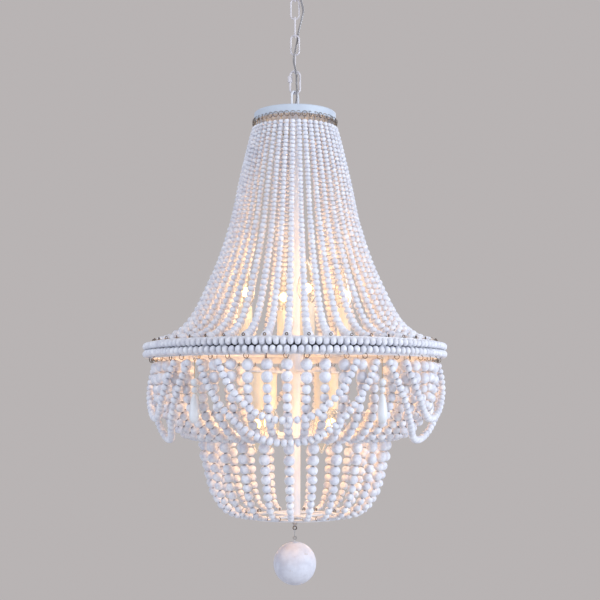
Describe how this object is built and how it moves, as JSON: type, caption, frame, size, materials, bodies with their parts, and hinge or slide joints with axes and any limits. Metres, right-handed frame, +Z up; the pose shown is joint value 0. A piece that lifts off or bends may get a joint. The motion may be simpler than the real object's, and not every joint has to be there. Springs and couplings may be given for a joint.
{
  "type": "beaded chandelier",
  "caption": "Empire-style chandelier with curtains of pale wooden beads on metal rings, bead swags and drops, candle lamps inside, hung on a chain from a ceiling canopy.",
  "frame": {"origin": "centre of the ceiling face, where the mounting strap meets the ceiling box", "axes": "+Z up, -Y towards the viewer of the picture, +X to the right"},
  "size_m": [0.5, 0.5, 1.0692],
  "materials": {
    "whitewashed_wood": "matte",
    "turned_wood": "satin",
    "painted_metal": "matte",
    "chain_white": "gloss",
    "aged_brass": "satin",
    "cable_clear": "gloss",
    "candle_cream": "satin",
    "bulb_glass": "frosted"
  },
  "bodies": {
    "ceiling_mount": {"mounting_strap": "painted_metal", "canopy_loop": "painted_metal", "power_cable": "cable_clear"},
    "canopy_cover": {"canopy": "painted_metal", "canopy_collar": "painted_metal"},
    "link_1": {"chain_link_1": "chain_white"},
    "link_2": {"chain_link_2": "chain_white"},
    "link_3": {"chain_link_3": "chain_white"},
    "link_4": {"chain_link_4": "chain_white"},
    "link_5": {"chain_link_5": "chain_white"},
    "quick_link": {"quick_link": "chain_white"},
    "sleeve_nut": {"quick_link_sleeve": "aged_brass"},
    "fixture": {"fixture_loop": "painted_metal", "top_plate": "painted_metal", "centre_column": "painted_metal", "main_ring": "painted_metal", "ring_beads_upper": "whitewashed_wood", "ring_beads_lower": "whitewashed_wood", "middle_ring": "painted_metal", "bottom_plate": "painted_metal", "upper_light_bracket": "painted_metal", "lower_light_bracket": "painted_metal", "candle_sleeve_upper_1": "candle_cream", "candle_sleeve_upper_2": "candle_cream", "candle_sleeve_upper_3": "candle_cream", "candle_sleeve_upper_4": "candle_cream", "candle_sleeve_lower_1": "candle_cream", "candle_sleeve_lower_2": "candle_cream", "candle_sleeve_lower_3": "candle_cream", "candle_sleeve_lower_4": "candle_cream", "veil_strands_1": "whitewashed_wood", "veil_strands_2": "whitewashed_wood", "veil_strands_3": "whitewashed_wood", "skirt_strands_1": "whitewashed_wood", "skirt_strands_2": "whitewashed_wood", "skirt_strands_3": "whitewashed_wood", "skirt_strands_4": "whitewashed_wood", "skirt_strands_5": "whitewashed_wood", "basket_strands": "whitewashed_wood", "swag_1": "whitewashed_wood", "swag_2": "whitewashed_wood", "swag_3": "whitewashed_wood", "swag_4": "whitewashed_wood", "swag_5": "whitewashed_wood", "finial_eye": "aged_brass"},
    "teardrop_1": {"teardrop_1": "turned_wood"},
    "teardrop_2": {"teardrop_2": "turned_wood"},
    "teardrop_3": {"teardrop_3": "turned_wood"},
    "teardrop_4": {"teardrop_4": "turned_wood"},
    "teardrop_5": {"teardrop_5": "turned_wood"},
    "bulb_upper_1": {"bulb_upper_1": "bulb_glass"},
    "bulb_upper_2": {"bulb_upper_2": "bulb_glass"},
    "bulb_upper_3": {"bulb_upper_3": "bulb_glass"},
    "bulb_upper_4": {"bulb_upper_4": "bulb_glass"},
    "bulb_lower_1": {"bulb_lower_1": "bulb_glass"},
    "bulb_lower_2": {"bulb_lower_2": "bulb_glass"},
    "bulb_lower_3": {"bulb_lower_3": "bulb_glass"},
    "bulb_lower_4": {"bulb_lower_4": "bulb_glass"},
    "ball_hook": {"ball_hook": "aged_brass"},
    "ball": {"ball": "turned_wood"}
  },
  "joints": [
    {"name": "canopy_drop", "type": "slide", "parent": "ceiling_mount", "child": "canopy_cover", "axis": [0, 0, -1], "range_m": [0, 0.012]},
    {"name": "link_1_swing", "type": "hinge", "parent": "ceiling_mount", "child": "link_1", "pos_m": [0, 0, -0.06135], "axis": [0, 1, 0], "range_deg": [-15, 15], "deforming": ["power_cable"]},
    {"name": "link_2_swing", "type": "hinge", "parent": "link_1", "child": "link_2", "pos_m": [0, 0, -0.09245], "axis": [1, 0, 0], "range_deg": [-15, 15], "deforming": ["power_cable"]},
    {"name": "link_3_swing", "type": "hinge", "parent": "link_2", "child": "link_3", "pos_m": [0, 0, -0.12355], "axis": [0, 1, 0], "range_deg": [-15, 15], "deforming": ["power_cable"]},
    {"name": "link_4_swing", "type": "hinge", "parent": "link_3", "child": "link_4", "pos_m": [0, 0, -0.15465], "axis": [1, 0, 0], "range_deg": [-15, 15], "deforming": ["power_cable"]},
    {"name": "link_5_swing", "type": "hinge", "parent": "link_4", "child": "link_5", "pos_m": [0, 0, -0.18575], "axis": [0, 1, 0], "range_deg": [-15, 15], "deforming": ["power_cable"]},
    {"name": "quick_link_swing", "type": "hinge", "parent": "link_5", "child": "quick_link", "pos_m": [0, 0, -0.2165], "axis": [1, 0, 0], "range_deg": [-15, 15], "deforming": ["power_cable"]},
    {"name": "sleeve_nut_run", "type": "slide", "parent": "quick_link", "child": "sleeve_nut", "axis": [0, 0, -1], "range_m": [0, 0.0105]},
    {"name": "fixture_swing", "type": "hinge", "parent": "quick_link", "child": "fixture", "pos_m": [0, 0, -0.25135], "axis": [0.5736, 0.8192, 0], "range_deg": [-15, 15], "deforming": ["power_cable"]},
    {"name": "teardrop_1_swing", "type": "hinge", "parent": "fixture", "child": "teardrop_1", "pos_m": [0.1298, -0.19836, -0.7077], "axis": [-0.8368, -0.5476, 0], "range_deg": [0, 40]},
    {"name": "teardrop_2_swing", "type": "hinge", "parent": "fixture", "child": "teardrop_2", "pos_m": [0.22876, 0.06215, -0.7077], "axis": [0.2622, -0.965, 0], "range_deg": [0, 40]},
    {"name": "teardrop_3_swing", "type": "hinge", "parent": "fixture", "child": "teardrop_3", "pos_m": [0.01158, 0.23677, -0.7077], "axis": [0.9988, -0.0489, 0], "range_deg": [0, 40]},
    {"name": "teardrop_4_swing", "type": "hinge", "parent": "fixture", "child": "teardrop_4", "pos_m": [-0.2216, 0.08418, -0.7077], "axis": [0.3551, 0.9348, 0], "range_deg": [0, 40]},
    {"name": "teardrop_5_swing", "type": "hinge", "parent": "fixture", "child": "teardrop_5", "pos_m": [-0.14854, -0.18474, -0.7077], "axis": [-0.7793, 0.6266, 0], "range_deg": [0, 40]},
    {"name": "bulb_upper_1_unscrew", "type": "slide", "parent": "fixture", "child": "bulb_upper_1", "axis": [0, 0, 1], "range_m": [0, 0.025]},
    {"name": "bulb_upper_2_unscrew", "type": "slide", "parent": "fixture", "child": "bulb_upper_2", "axis": [0, 0, 1], "range_m": [0, 0.025]},
    {"name": "bulb_upper_3_unscrew", "type": "slide", "parent": "fixture", "child": "bulb_upper_3", "axis": [0, 0, 1], "range_m": [0, 0.025]},
    {"name": "bulb_upper_4_unscrew", "type": "slide", "parent": "fixture", "child": "bulb_upper_4", "axis": [0, 0, 1], "range_m": [0, 0.025]},
    {"name": "bulb_lower_1_unscrew", "type": "slide", "parent": "fixture", "child": "bulb_lower_1", "axis": [0, 0, -1], "range_m": [0, 0.025]},
    {"name": "bulb_lower_2_unscrew", "type": "slide", "parent": "fixture", "child": "bulb_lower_2", "axis": [0, 0, -1], "range_m": [0, 0.025]},
    {"name": "bulb_lower_3_unscrew", "type": "slide", "parent": "fixture", "child": "bulb_lower_3", "axis": [0, 0, -1], "range_m": [0, 0.025]},
    {"name": "bulb_lower_4_unscrew", "type": "slide", "parent": "fixture", "child": "bulb_lower_4", "axis": [0, 0, -1], "range_m": [0, 0.025]},
    {"name": "ball_hook_swing", "type": "hinge", "parent": "fixture", "child": "ball_hook", "pos_m": [0, 0, -0.97875], "axis": [0, 1, 0], "range_deg": [-25, 25]},
    {"name": "ball_swing", "type": "hinge", "parent": "ball_hook", "child": "ball", "pos_m": [0, 0, -0.99105], "axis": [1, 0, 0], "range_deg": [-25, 25]}
  ]
}
